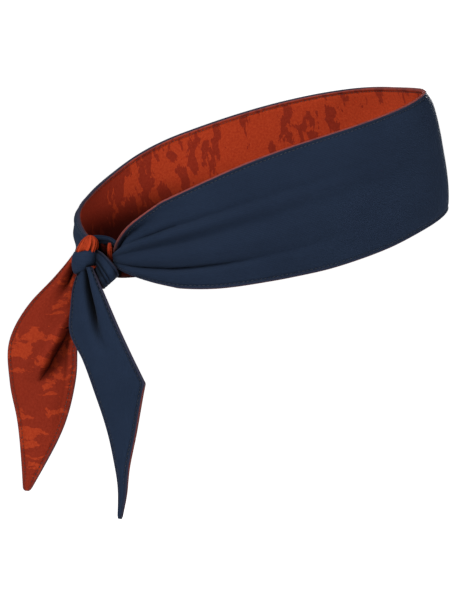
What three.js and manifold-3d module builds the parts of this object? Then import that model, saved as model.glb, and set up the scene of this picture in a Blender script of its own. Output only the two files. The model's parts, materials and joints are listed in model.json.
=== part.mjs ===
// Tie-back sports headband in the shape it takes when worn: a navy knitted shell and a printed
// knitted lining sewn edge to edge into one strip, knotted behind the head, with two pointed tails.
//
// Millimetres, +Z up. The wearer faces -Y, the knot is at +Y and the wearer's right hand is at -X.
// The origin is the middle of the flat front panel of the lining, where it rests on the forehead.
// The shape is worked out about the centre of the head loop and moved to that origin at the end.

import * as THREE from 'three';
import { mergeVertices } from 'three/addons/utils/BufferGeometryUtils.js';
import Module from 'manifold-3d';

const wasm = await Module();
wasm.setup();

// ---- Driving dimensions ----------------------------------------------------------------------

const FABRIC = 1.0; // thickness of one knitted layer
const AIR = 0.4; // gap between neighbouring pieces

// The head loop seen from above is an egg-shaped superellipse.
const LOOP_HALF_LENGTH = 100; // outside of the shell, front to back
const LOOP_HALF_WIDTH = 77;
const LOOP_SQUARENESS = 2.46; // 2 is an ellipse, more is squarer
const LOOP_EGG = 0.19; // share by which the loop widens towards the forehead
const LOOP_FACETS = 61; // odd, so that one flat panel is centred on the forehead
const LOOP_OPENING = 0.1; // radians left open on each side for the knot

// The band seen from the side: full width over the front half, gathered elliptically at the back.
const BAND_WIDTH = 67;
const BAND_KNOT_WIDTH = 12;
const BAND_PITCH = THREE.MathUtils.degToRad(11.6); // the loop sits higher on the forehead
const BAND_SLOPE = THREE.MathUtils.degToRad(4.3); // the midline falls further towards the knot
const GATHER_STEPS = 14;

const STITCH_INSET = 2.4; // edge of the fabric to the line of topstitching
const THREAD_WIDTH = 0.8;
const THREAD_HEIGHT = 0.5;

// The knot, as centre and radii of its rolled strands, measured from the centre of the loop.
const KNOT_CORE = { centre: [0, 101, -28.5], radii: [5, 5.5, 11] };
const KNOT_LEFT_STRAND = { centre: [9, 87, -20], radii: [8, 4, 4] };
const KNOT_RIGHT_STRAND = { centre: [-13, 87, -37], radii: [7, 4.5, 6] };
const KNOT_WRAP = { centre: [0, 101, -31.5], radii: [8, 8.5], hole: [5.7, 6.2], height: 9 };

// Each tail hangs in a vertical plane of its own, turned by yaw about +Z. Outlines are [across, up]
// from the point where the tail leaves the knot, down one edge to the tip and up the other.
const TAIL_RIGHT = {
  exit: [-4, 103.8, -37],
  yaw: THREE.MathUtils.degToRad(30),
  bendHeight: -50,
  outline: [
    [5, -3], [9, -20], [9.5, -34], [1.6, -46.5], [-14, -83], [-22, -130],
    [-33.6, -82], [-39.5, -56.5], [-16, -17], [-6, -3],
  ],
};
const TAIL_LEFT = {
  exit: [11, 104, -34],
  yaw: THREE.MathUtils.degToRad(45),
  bendHeight: -62,
  outline: [
    [7, -3], [25.5, -22], [33, -34], [36.5, -48], [36.5, -62], [33, -82], [28, -125],
    [5, -86], [-1, -70], [-2, -49], [-3, -30], [-2, -3],
  ],
};
const BEND_GAP = 3; // free length of cloth between a tail's two stiff halves

const NAVY = 0x1f2d42;
const NAVY_THREAD = 0x16202f;
const RED_PRINT = 0xa63a22;

// ---- Solids ----------------------------------------------------------------------------------

function toManifold(geometry) {
  const bare = geometry.clone();
  bare.deleteAttribute('normal');
  bare.deleteAttribute('uv');
  const merged = mergeVertices(bare, 1e-5);
  return new wasm.Manifold(new wasm.Mesh({
    numProp: 3,
    vertProperties: new Float32Array(merged.attributes.position.array),
    triVerts: new Uint32Array(merged.index.array),
  }));
}

function toGeometry(manifold) {
  const mesh = manifold.getMesh();
  const geometry = new THREE.BufferGeometry();
  geometry.setAttribute('position', new THREE.BufferAttribute(mesh.vertProperties, 3));
  geometry.setIndex(new THREE.BufferAttribute(mesh.triVerts, 1));
  geometry.computeVertexNormals();
  return geometry;
}

function makePiece(name, geometry, color) {
  const material = new THREE.MeshStandardMaterial({ color, roughness: 0.9, metalness: 0 });
  const piece = new THREE.Mesh(geometry, material);
  piece.name = name;
  return piece;
}

// ---- Head loop -------------------------------------------------------------------------------

// A point of the loop seen from above: angle 0 is the forehead, positive angles are on -X.
function loopPoint(angle, inset) {
  const power = 2 / LOOP_SQUARENESS;
  const along = Math.cos(angle);
  const across = Math.sin(angle);
  const widening = 1 + LOOP_EGG * along;
  return new THREE.Vector2(
    -(LOOP_HALF_WIDTH - inset) * Math.sign(across) * Math.abs(across) ** power * widening,
    -(LOOP_HALF_LENGTH - inset) * Math.sign(along) * Math.abs(along) ** power,
  );
}

function loopPlan(outerInset, innerInset) {
  const outer = [];
  const inner = [];
  const end = Math.PI - LOOP_OPENING;
  for (let i = 0; i <= LOOP_FACETS; i++) {
    const angle = THREE.MathUtils.lerp(-end, end, i / LOOP_FACETS);
    outer.push(loopPoint(angle, outerInset));
    inner.push(loopPoint(angle, innerInset));
  }
  return new THREE.Shape([...outer, ...inner.reverse()]);
}

function bandMidline(y) {
  return -Math.tan(BAND_SLOPE) * y;
}

function bandWidth(y) {
  const back = THREE.MathUtils.clamp(y / LOOP_HALF_LENGTH, 0, 1);
  return Math.max(BAND_KNOT_WIDTH, BAND_WIDTH * Math.sqrt(1 - back ** 2));
}

// The side outline between two lines. Each line follows an edge of the band, the top edge where
// side is 1 and the bottom edge where it is -1, at its inset from that edge.
function bandSide(upper, lower) {
  const stations = [-LOOP_HALF_LENGTH - 5];
  for (let i = 0; i <= GATHER_STEPS; i++) {
    stations.push(LOOP_HALF_LENGTH * Math.sin((i / GATHER_STEPS) * Math.PI / 2));
  }
  stations.push(LOOP_HALF_LENGTH + 5);
  const height = (y, line) => bandMidline(y) + line.side * (bandWidth(y) / 2 - line.inset);
  const top = stations.map((y) => new THREE.Vector2(y, height(y, upper)));
  const bottom = stations.map((y) => new THREE.Vector2(y, height(y, lower)));
  return new THREE.Shape([...bottom, ...top.reverse()]);
}

// One layer of the band: the plan pushed straight up, kept where the side outline covers it.
function bandLayer(outerInset, innerInset, upper, lower) {
  const reach = BAND_WIDTH;
  const wall = new THREE.ExtrudeGeometry(loopPlan(outerInset, innerInset), {
    depth: 2 * reach,
    bevelEnabled: false,
  });
  wall.translate(0, 0, -reach);

  const span = LOOP_HALF_WIDTH * (1 + LOOP_EGG);
  const side = new THREE.ExtrudeGeometry(bandSide(upper, lower), {
    depth: 2 * span,
    bevelEnabled: false,
  });
  side.translate(0, 0, -span);
  side.applyMatrix4(new THREE.Matrix4().makeBasis(
    new THREE.Vector3(0, 1, 0),
    new THREE.Vector3(0, 0, 1),
    new THREE.Vector3(1, 0, 0),
  ));
  return toGeometry(toManifold(wall).intersect(toManifold(side)));
}

function makeBand() {
  const top = { side: 1, inset: 0 };
  const bottom = { side: -1, inset: 0 };
  const liningOuter = FABRIC + AIR;
  const seam = (side) => {
    const lines = [STITCH_INSET, STITCH_INSET + THREAD_WIDTH].map((inset) => ({ side, inset }));
    const [upper, lower] = side > 0 ? lines : lines.reverse();
    return bandLayer(-AIR - THREAD_HEIGHT, -AIR, upper, lower);
  };

  const band = new THREE.Group();
  band.add(
    makePiece('band_shell', bandLayer(0, FABRIC, top, bottom), NAVY),
    makePiece('band_lining', bandLayer(liningOuter, liningOuter + FABRIC, top, bottom), RED_PRINT),
    makePiece('band_top_stitching', seam(1), NAVY_THREAD),
    makePiece('band_bottom_stitching', seam(-1), NAVY_THREAD),
  );
  band.rotation.x = -BAND_PITCH;
  return band;
}

// ---- Knot ------------------------------------------------------------------------------------

function makeStrand(name, { centre, radii }, color) {
  const strand = makePiece(name, new THREE.SphereGeometry(1, 16, 10).scale(...radii), color);
  strand.position.set(...centre);
  return strand;
}

function makeKnotWrap() {
  const [centreX, centreY, centreZ] = KNOT_WRAP.centre;
  const ring = new THREE.Shape();
  ring.absellipse(0, 0, ...KNOT_WRAP.radii, 0, 2 * Math.PI);
  const hole = new THREE.Path();
  hole.absellipse(0, 0, ...KNOT_WRAP.hole, 0, 2 * Math.PI);
  ring.holes.push(hole);
  const geometry = new THREE.ExtrudeGeometry(ring, {
    depth: KNOT_WRAP.height,
    bevelEnabled: false,
    curveSegments: 10,
  });
  const wrap = makePiece('knot_wrap', geometry, NAVY);
  wrap.position.set(centreX, centreY, centreZ - KNOT_WRAP.height / 2);
  return wrap;
}

function makeKnot() {
  const knot = new THREE.Group();
  knot.add(
    makeStrand('knot_core', KNOT_CORE, RED_PRINT),
    makeStrand('knot_left_strand', KNOT_LEFT_STRAND, NAVY),
    makeStrand('knot_right_strand', KNOT_RIGHT_STRAND, NAVY),
    makeKnotWrap(),
  );
  return knot;
}

// ---- Tails -----------------------------------------------------------------------------------

// Moves every edge of a clockwise outline inwards by the same distance.
function insetOutline(points, distance) {
  const count = points.length;
  const inward = (from, to) => {
    const along = to.clone().sub(from).normalize();
    return new THREE.Vector2(along.y, -along.x);
  };
  return points.map((point, i) => {
    const before = inward(points[(i + count - 1) % count], point);
    const after = inward(point, points[(i + 1) % count]);
    const bisector = before.clone().add(after);
    return point.clone().addScaledVector(bisector, 2 * distance / bisector.lengthSq());
  });
}

// A flat plate with the outline in the local XZ plane, from depth back to depth front along +Y.
function uprightPlate(shape, back, front) {
  const plate = new THREE.ExtrudeGeometry(shape, { depth: front - back, bevelEnabled: false });
  plate.rotateX(Math.PI / 2);
  plate.translate(0, front, 0);
  return toManifold(plate);
}

function blockBetween(left, right, low, high) {
  const block = new THREE.BoxGeometry(right - left, 40, high - low);
  block.translate((left + right) / 2, 0, (low + high) / 2);
  return toManifold(block);
}

// The line of stitching inside an outline's edge, from one of its corners to another.
function seamShape(edge, first, last) {
  const outside = insetOutline(edge, STITCH_INSET).slice(first, last + 1);
  const inside = insetOutline(edge, STITCH_INSET + THREAD_WIDTH).slice(first, last + 1);
  return new THREE.Shape([...outside, ...inside.reverse()]);
}

// shellSide is +1 where the shell faces local +Y, away from the neck, and -1 where it faces in.
function makeTail(side, { exit, yaw, bendHeight, outline }, shellSide) {
  const edge = outline.map(([across, up]) => new THREE.Vector2(across, up));
  const lastCorner = edge.length - 1;
  const tipHeight = Math.min(...edge.map((corner) => corner.y));
  const tip = edge.findIndex((corner) => corner.y === tipHeight);

  const far = 200;
  const upper = blockBetween(-far, far, bendHeight + BEND_GAP / 2, 0);
  const lower = blockBetween(-far, far, -far, bendHeight - BEND_GAP / 2);

  const piece = (part, shape, near, thickness, half, color) => {
    const faces = [shellSide * near, shellSide * (near + thickness)];
    const plate = uprightPlate(shape, Math.min(...faces), Math.max(...faces));
    return makePiece(`${side}_tail_${part}`, toGeometry(plate.intersect(half)), color);
  };
  const cloth = new THREE.Shape(edge);
  const shell = (part, half) => piece(part, cloth, AIR / 2, FABRIC, half, NAVY);
  const lining = (part, half) => piece(part, cloth, -AIR / 2 - FABRIC, FABRIC, half, RED_PRINT);
  const seam = (part, half, first, last) => (
    piece(part, seamShape(edge, first, last), 1.5 * AIR + FABRIC, THREAD_HEIGHT, half, NAVY_THREAD)
  );

  const tail = new THREE.Group();
  tail.add(
    shell('upper_shell', upper),
    lining('upper_lining', upper),
    seam('upper_stitching_a', upper, 0, tip),
    seam('upper_stitching_b', upper, tip, lastCorner),
    shell('lower_shell', lower),
    lining('lower_lining', lower),
    seam('lower_stitching', lower, 0, lastCorner),
  );
  tail.position.set(...exit);
  tail.rotation.z = yaw;
  return tail;
}

// ---- Assembly --------------------------------------------------------------------------------

const headband = new THREE.Group();
headband.add(
  makeBand(),
  makeKnot(),
  makeTail('right', TAIL_RIGHT, 1),
  makeTail('left', TAIL_LEFT, -1),
);

// The middle of the lining's front panel, in the pitched band, becomes the origin.
const halfPanel = (Math.PI - LOOP_OPENING) / LOOP_FACETS;
const panelY = loopPoint(halfPanel, 2 * FABRIC + AIR).y;
const forehead = new THREE.Vector3(0, panelY, bandMidline(panelY));
forehead.applyAxisAngle(new THREE.Vector3(1, 0, 0), -BAND_PITCH);
headband.position.copy(forehead).negate();

export default headband;
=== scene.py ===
"""Tie-back sports headband: a navy knitted shell and a printed knitted lining, sewn edge to edge
into one strip, shaped as it is worn: a head loop, a knot behind the head and two pointed tails.

Metres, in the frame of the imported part: +Z up, the wearer faces -Y, the knot is at +Y and the
wearer's right hand is at -X. The camera sees the wearer's right side from slightly behind, so the
arm of the loop on -X is called the near arm and the one on +X the far arm.

Every stretch of cloth is a double strip made by layered_strip() from a function that places points
on the middle surface between its two layers: surface(along, across), across going from -1 at one
edge of the strip to +1 at the other.
"""

import json
import math

import bpy
import numpy as np
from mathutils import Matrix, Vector


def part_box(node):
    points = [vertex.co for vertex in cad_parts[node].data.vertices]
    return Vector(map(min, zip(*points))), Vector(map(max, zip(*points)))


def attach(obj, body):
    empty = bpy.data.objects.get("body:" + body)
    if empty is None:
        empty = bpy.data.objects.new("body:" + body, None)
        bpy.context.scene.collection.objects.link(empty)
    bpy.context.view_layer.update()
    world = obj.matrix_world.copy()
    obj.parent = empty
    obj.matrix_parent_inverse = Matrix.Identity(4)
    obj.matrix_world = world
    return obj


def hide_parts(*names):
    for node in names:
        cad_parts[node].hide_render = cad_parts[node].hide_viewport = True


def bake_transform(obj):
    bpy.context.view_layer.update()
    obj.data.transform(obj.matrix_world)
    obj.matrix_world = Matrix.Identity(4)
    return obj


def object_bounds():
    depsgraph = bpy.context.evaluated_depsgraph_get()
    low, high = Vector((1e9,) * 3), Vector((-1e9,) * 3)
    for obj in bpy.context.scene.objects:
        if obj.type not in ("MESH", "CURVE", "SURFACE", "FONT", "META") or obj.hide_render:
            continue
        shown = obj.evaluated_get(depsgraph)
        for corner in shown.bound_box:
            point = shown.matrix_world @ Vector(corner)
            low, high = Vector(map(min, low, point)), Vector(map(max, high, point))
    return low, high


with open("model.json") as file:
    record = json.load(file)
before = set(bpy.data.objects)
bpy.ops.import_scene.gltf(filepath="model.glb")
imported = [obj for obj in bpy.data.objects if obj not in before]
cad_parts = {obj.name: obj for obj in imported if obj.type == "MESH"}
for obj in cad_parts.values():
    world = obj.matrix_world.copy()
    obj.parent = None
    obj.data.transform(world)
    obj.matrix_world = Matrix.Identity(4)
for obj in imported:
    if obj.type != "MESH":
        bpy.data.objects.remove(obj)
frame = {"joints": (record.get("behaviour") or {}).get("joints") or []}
cad_low, cad_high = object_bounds()

# ---- Driving dimensions ----

# The double cloth: rounded edges, and a shallow groove where the topstitching pulls it in.
EDGE_RADIUS = 0.0011
HALF_THICKNESS = 0.00095
LAYER_GAP = 0.00002
STITCH_INSET = 0.0024
STITCH_PITCH = 0.0023
STITCH_LENGTH = 0.0016
STITCH_RADIUS = 0.00018
GROOVE_DEPTH = 0.0004
GROOVE_WIDTH = 0.0006
NORMAL_STEP = 0.0005  # how far ahead along a strip its surface is sampled to find its normals

# The head loop from above: an egg-shaped superellipse, measured on the outside of the shell.
LOOP_HALF_LENGTH = 0.100
LOOP_HALF_WIDTH = 0.077
LOOP_SQUARENESS = 2.46
LOOP_EGG = 0.19
LOOP_EASE = 0.0002  # how far the shell stays inside that outline
LOOP_END = math.pi - 0.75  # past this angle each arm leaves the loop's curve for the knot

# The band from the side, in a frame pitched up at the forehead.
BAND_WIDTH = 0.067
BAND_PITCH = math.radians(11.6)
BAND_SLOPE = math.radians(4.3)
SEAM_ROLL = math.radians(65)
SHELL_ROLL = math.radians(-55)
BAND_STATION = 0.0016  # distance between cross-sections

# Where the band's shape strays from the plain superellipse and taper. Outwards: the crown of its
# cross-section (height, and the distances from an end between which it grows), then three swellings
# (height, distance from the far end or, for the tuck, from the near end, reach).
CROWN = (0.0030, 0.03, 0.15)
FAR_BULGE = (0.0054, 0.042, 0.028)
FAR_CORNER = (0.0008, 0.034, 0.018)
FRONT_TUCK = (0.0016, 0.238, 0.022)
# Upwards, for its two edges: (distance from the far end, rise).
TOP_STRAY = (
    (0, 0), (0.050, -0.0004), (0.080, -0.0011), (0.100, -0.0004), (0.144, 0.0004), (0.240, -0.0006),
    (0.300, -0.0008), (0.350, 0.0018), (0.375, 0.0012), (0.430, 0.0009), (0.465, 0.0013),
    (0.503, 0.0017), (0.527, 0.0029), (0.541, 0.0027), (0.550, 0.0013), (0.565, -0.0015),
)
BOTTOM_STRAY = (
    (0, 0), (0.025, -0.0030), (0.045, -0.0026), (0.080, 0), (0.283, 0.0003), (0.350, 0.0020),
    (0.375, 0.0010), (0.400, -0.0008), (0.425, -0.0011), (0.455, 0.0003), (0.470, 0.0004),
    (0.500, -0.0009), (0.527, -0.0013), (0.545, -0.0002), (0.565, 0),
)

# Folds that fan out of the knot: place across, width across, height outwards, the distance from
# the arm's end where the fold is fully raised, and the distance over which it fades again.
NEAR_FOLDS = (
    (0.75, 0.15, -0.0064, 0.008, 0.036),
    (0.50, 0.13, -0.0045, 0.006, 0.020),
    (0.38, 0.05, -0.0012, 0.050, 0.115),
    (0.24, 0.08, 0.0018, 0.060, 0.115),
    (0.06, 0.09, -0.0018, 0.060, 0.110),
    (-0.26, 0.15, 0.0018, 0.050, 0.100),
    (-0.54, 0.050, -0.0034, 0.030, 0.090),
    (-0.74, 0.15, 0.0014, 0.030, 0.060),
)
FAR_FOLDS = (
    (0.62, 0.16, -0.0010, 0.015, 0.060),
    (0.30, 0.20, 0.0008, 0.015, 0.070),
    (-0.08, 0.10, -0.0006, 0.015, 0.060),
    (-0.36, 0.28, 0.0038, 0.006, 0.048),
    (-0.75, 0.12, -0.0012, 0.015, 0.050),
)

# The knot's front is turned this far from the -X side towards the back. Places in the knot are
# (right, front, up) from its centre.
KNOT_YAW = math.radians(26.2)
KNOT_FROM_LOOP = np.array((0, 0.101, -0.030))  # from the loop's centre, as (x, y, z)
CAD_WRAP_FROM_KNOT = np.array((0, 0, -0.0015))  # the CAD part's knot_wrap, as (x, y, z)
WRAP_CENTRE = (-0.0001, 0.0008, -0.0006)
WRAP_RADIUS = 0.0062
WRAP_TILT = 0.0018
WRAP_HALF_THICKNESS = 0.0012

# Each arm's last stretch: it keeps the loop's direction over reach, then bends past the elbow.
FAR_ARM = {
    "elbow": (-0.0020, -0.018, 0),
    "entry": (0.0040, -0.005, 0.001),
    "end_width": 0.020,
    "reach": 0.014,
}
NEAR_ARM = {
    "elbow": (0.0150, 0.016, 0),
    "entry": (0.0145, -0.002, 0.0005),
    "end_width": 0.003,
    "reach": 0.012,
}

# The near arm's bottom edge turned under beside the knot: where it starts and how far it runs from
# the arm's end, the place across the band that it hangs from, and how deep its two ends hang.
UNDERFOLD_START = 0.006
UNDERFOLD_LENGTH = 0.017
UNDERFOLD_FROM = -0.86
UNDERFOLD_DEPTHS = (0.0078, 0.0024)
UNDERFOLD_SHIFT = (0.0017, -0.0015, 0)  # clear of the arm's lining, in the knot's directions

# Each tail hangs in an upright plane. Its edges are (height, distance across) from where it leaves
# the knot; across is measured along the plane and grows towards the far side of the head. Neck is
# how far it reaches up into the knot, split where its two halves meet. Neck pleats are (place
# across, width across, height, and the depths between which the pleat fades out).
TAIL_TIP_ROUND = 0.0016
RIGHT_TAIL = {
    "yaw": math.radians(30),
    "neck": 0.0030,
    "split": 0.026,
    "start": [
        (0.005, 0.0020), (0.000, 0.0037), (-0.0085, 0.0071), (-0.018, 0.0086), (-0.033, 0.0090),
        (-0.0465, 0.0004), (-0.064, -0.0076), (-0.083, -0.0146), (-0.097, -0.0182),
        (-0.113, -0.0212), (-0.130, -0.0214),
    ],
    "end": [
        [
            (0.005, -0.0050), (0.001, -0.0068), (-0.002, -0.0086), (-0.0055, -0.0105),
            (-0.0085, -0.0122), (-0.0275, -0.0226), (-0.0565, -0.0407),
        ],
        [
            (-0.0565, -0.0407), (-0.082, -0.0343), (-0.105, -0.0283), (-0.117, -0.0267),
            (-0.130, -0.0238),
        ],
    ],
    "neck_pleats": (
        (0.12, 0.15, -0.0058, 0.006, 0.046),
        (-0.40, 0.30, 0.0012, 0.010, 0.060),
        (0.55, 0.24, 0.0014, 0.010, 0.050),
    ),
}
LEFT_TAIL = {
    "yaw": math.radians(45),
    "neck": 0.0076,
    "split": 0.034,
    "start": [
        (0.0080, -0.0034), (0.0048, -0.0006), (0.002, 0.0018), (-0.006, 0.0092), (-0.022, 0.0252),
        (-0.041, 0.0365), (-0.065, 0.0369), (-0.085, 0.0333), (-0.1235, 0.0290),
    ],
    "end": [
        [
            (0.0080, -0.0076), (0.003, -0.0062), (-0.006, -0.0040), (-0.024, -0.0022),
            (-0.062, -0.0019), (-0.086, 0.0049), (-0.111, 0.0176), (-0.1235, 0.0249),
        ],
    ],
    "neck_pleats": (
        (0.30, 0.22, -0.0030, 0.004, 0.024),
        (-0.30, 0.30, 0.0016, 0.004, 0.030),
    ),
}
# The printed tail's diagonal fold: (depth, place across) where its crest starts and ends.
RIDGE_START = (0.030, 0.76)
RIDGE_END = (0.056, 0.06)
RIDGE_CREST = 0.08
RIDGE_HEIGHT = 0.0044
RIDGE_HOLLOW = 0.0030
TAIL_ROLL = -0.7  # the seam's angle round a tail's edges, in radians
RIGHT_TAIL_TURN = (0.053, 0.061)  # depths between which one seam turns to the navy face
TIP_WITHOUT_STITCHES = 0.003
SWING_BLEND = (-0.002, 0.014)  # depths round the swing joint at the top of a tail's neck
CURL_BLEND = 0.012  # a distance above and below a tail's curl joint

CAMERA_AZIMUTH = math.radians(-116.2)
CAMERA_ELEVATION = math.radians(5.56)
CAMERA_DISTANCE = 1.5
CAMERA_AIM_FROM_LOOP = Vector((0.0017, 0.0162, -0.0580))
CAMERA_LENS = 162.8  # millimetres on a 36 mm sensor, as Blender counts them

FLOOR_BELOW_OBJECT = 0.30
FLOOR_SIZE = 40
FLOOR_GLOW = 1.0
WORLD_SEEN = 1.1
WORLD_LIGHT = 0.03
LIGHT_DISTANCE = 1.6
LIGHT_SIZE = 0.5
# Name, azimuth and elevation in degrees, power in watts. The two far lights serve the views from
# the side that faces away from the camera.
LIGHTS = (
    ("key", -161, 50, 14),
    ("front", -71, 18, 9.5),
    ("back", -146, 18, 7.8),
    ("rim", -26, 18, 3),
    ("far side", 50, 12, 14),
    ("far back", 125, 35, 2.5),
)

# ---- Places taken from the frame ----


def node_middle(name):
    low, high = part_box(name)
    return np.array((low + high) / 2)


def joint_place(name):
    joint = next(joint for joint in frame["joints"] if joint["name"] == name)
    return np.array(joint["pos_m"])


KNOT_CENTRE = node_middle("knot_wrap") - CAD_WRAP_FROM_KNOT
LOOP_CENTRE = KNOT_CENTRE - KNOT_FROM_LOOP
KNOT_RIGHT = np.array((-math.sin(KNOT_YAW), -math.cos(KNOT_YAW), 0))
KNOT_FRONT = np.array((-math.cos(KNOT_YAW), math.sin(KNOT_YAW), 0))
UP = np.array((0, 0, 1.0))


def knot_point(right, front, up):
    return KNOT_CENTRE + right * KNOT_RIGHT + front * KNOT_FRONT + up * UP


def pitched(points):
    """From the band's own frame to the row frame."""
    x, y, z = np.moveaxis(np.asarray(points, float), -1, 0)
    cos, sin = math.cos(BAND_PITCH), math.sin(BAND_PITCH)
    return LOOP_CENTRE + np.stack((x, y * cos + z * sin, z * cos - y * sin), -1)


def unpitched(point):
    """From the row frame to the band's own frame."""
    x, y, z = np.asarray(point) - LOOP_CENTRE
    cos, sin = math.cos(BAND_PITCH), math.sin(BAND_PITCH)
    return np.array((x, y * cos - z * sin, z * cos + y * sin))


# ---- Curves ----


def unit(vectors):
    length = np.linalg.norm(vectors, axis=-1, keepdims=True)
    return vectors / np.maximum(length, 1e-12)


def smoothstep(values, start, end):
    t = np.clip((values - start) / (end - start), 0, 1)
    return t * t * (3 - 2 * t)


def bump(values, centre, width):
    return np.exp(-(((values - centre) / width) ** 2))


def curve_through(knots, values):
    """A smooth function of one number that passes through values at the rising knots."""
    knots = np.asarray(knots, float)
    values = np.asarray(values, float)
    slopes = np.gradient(values, knots, axis=0)

    def curve(t):
        t = np.clip(t, knots[0], knots[-1])
        i = np.clip(np.searchsorted(knots, t, side="right") - 1, 0, len(knots) - 2)
        span = knots[i + 1] - knots[i]
        q = (t - knots[i]) / span
        if values.ndim > 1:
            q, span = q[..., None], span[..., None]
        rise = q * q * (3 - 2 * q)
        leave = q * (1 - q) ** 2 * span
        arrive = -q * q * (1 - q) * span
        passed = values[i] * (1 - rise) + values[i + 1] * rise
        return passed + slopes[i] * leave + slopes[i + 1] * arrive

    return curve


def path_through(points):
    """A smooth path through points, as a function of 0..1."""
    points = np.asarray(points, float)
    steps = np.linalg.norm(np.diff(points, axis=0), axis=1)
    knots = np.concatenate(([0], np.cumsum(steps)))
    return curve_through(knots / knots[-1], points)


# ---- Meshes ----


def mesh_object(name, vertices, faces, uvs, sharp_angle=50):
    mesh = bpy.data.meshes.new(name)
    mesh.from_pydata(np.asarray(vertices).tolist(), [], faces)
    layer = mesh.uv_layers.new(name="cloth")
    corners = np.empty(len(mesh.loops), np.int32)
    mesh.loops.foreach_get("vertex_index", corners)
    layer.data.foreach_set("uv", np.asarray(uvs, np.float32)[corners].ravel())
    mesh.polygons.foreach_set("use_smooth", [True] * len(mesh.polygons))
    mesh.set_sharp_from_angle(angle=math.radians(sharp_angle))
    mesh.update()
    piece = bpy.data.objects.new(name, mesh)
    bpy.context.scene.collection.objects.link(piece)
    return piece


def ring_faces(rows, columns, closed=False):
    """Quads between neighbouring closed rings, and a flat cap at each end unless the row closes."""
    faces = []
    for i in range(rows if closed else rows - 1):
        here, there = i * columns, (i + 1) % rows * columns
        for j in range(columns):
            k = (j + 1) % columns
            faces.append((here + j, here + k, there + k, there + j))
    if not closed:
        last = (rows - 1) * columns
        faces.append(tuple(range(columns - 1, -1, -1)))
        faces.append(tuple(range(last, last + columns)))
    return faces


def solid_from_rings(name, rings, uvs, closed=False, inside_out=False):
    rows, columns = rings.shape[:2]
    faces = ring_faces(rows, columns, closed)
    if inside_out:
        faces = [face[::-1] for face in faces]
    return mesh_object(name, rings.reshape(-1, 3), faces, uvs.reshape(-1, 2))


# ---- The double strip ----


def half_thickness(inset):
    return HALF_THICKNESS - GROOVE_DEPTH * bump(inset, STITCH_INSET, GROOVE_WIDTH)


def surface_normals(surface, along, across, step):
    """Unit normals of surface, on the side that along x across points to."""
    ahead = surface(along + step, across) - surface(along - step, across)
    right = np.clip(across + 0.01, -1, 1)
    left = np.clip(across - 0.01, -1, 1)
    aside = surface(along, right) - surface(along, left)
    return unit(np.cross(ahead, aside))


def strip_size(surface, stations):
    """Length walked so far and width of the strip at each station."""
    across = np.linspace(-1, 1, 33)[None, :]
    points = surface(stations[:, None], across)
    widths = np.linalg.norm(np.diff(points, axis=1), axis=2).sum(1)
    middle = points[:, 16]
    steps = np.linalg.norm(np.diff(middle, axis=0), axis=1)
    return np.concatenate(([0], np.cumsum(steps))), widths


def edge_profile(seam_angle):
    """The rounded edge of one layer at every station, from the seam to the flat of the cloth:
    inset and height of its outer face, and of its hidden face."""
    angles = np.linspace(0, 1, 7)[None, :]
    angles = seam_angle[:, None] * (1 - angles) + math.pi / 2 * angles
    notch = 1 - 0.12 * bump(angles, seam_angle[:, None], 0.3)
    inset = EDGE_RADIUS * (1 - notch * np.cos(angles))
    height = EDGE_RADIUS * notch * np.sin(angles)
    share = np.linspace(0, 1, inset.shape[1])[None, :]
    hidden_inset = inset[:, :1] * (1 - share) + EDGE_RADIUS * share
    hidden_height = height[:, :1] * (1 - share) + LAYER_GAP * share
    return inset, height, hidden_inset, hidden_height


def margin_profile(widths, seam_angle):
    """The same, out past the topstitching's groove, and squeezed where the strip is narrow."""
    beside = np.array((0.0014, 0.0018, 0.0021, 0.0024, 0.0027, 0.0031, 0.0037, 0.0046))
    rows = np.ones((len(widths), 1))
    squeeze = np.minimum(1, widths / (2.3 * beside[-1]))[:, None]
    inset, height, hidden_inset, hidden_height = edge_profile(seam_angle)
    flat = rows * half_thickness(beside)
    hidden_flat = rows * LAYER_GAP * np.ones(len(beside))
    return (
        squeeze * np.concatenate((inset, rows * beside), 1),
        np.concatenate((height, flat), 1) * (0.3 + 0.7 * squeeze),
        squeeze * np.concatenate((hidden_inset, rows * beside), 1),
        np.concatenate((hidden_height, hidden_flat), 1),
    )


def layer_section(widths, seam_angles, inner_columns):
    """One layer's cross-section at every station, from seam to seam: distance from the strip's
    starting edge and height above the middle surface, for its outer and for its hidden face."""
    first = margin_profile(widths, seam_angles[0])
    last = margin_profile(widths, seam_angles[1])
    share = np.linspace(0, 1, inner_columns + 2)[None, 1:-1]
    sections = []
    for inset, height, level in ((0, 1, HALF_THICKNESS), (2, 3, LAYER_GAP)):
        left = first[inset]
        right = widths[:, None] - last[inset][:, ::-1]
        middle = left[:, -1:] + share * (right[:, :1] - left[:, -1:])
        left_height = first[height]
        right_height = last[height][:, ::-1]
        middle_height = level * np.ones_like(middle) * left_height[:, -1:] / left_height[:, -1:].max()
        sections.append(np.concatenate((left, middle, right), 1))
        sections.append(np.concatenate((left_height, middle_height, right_height), 1))
    return sections


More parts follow.
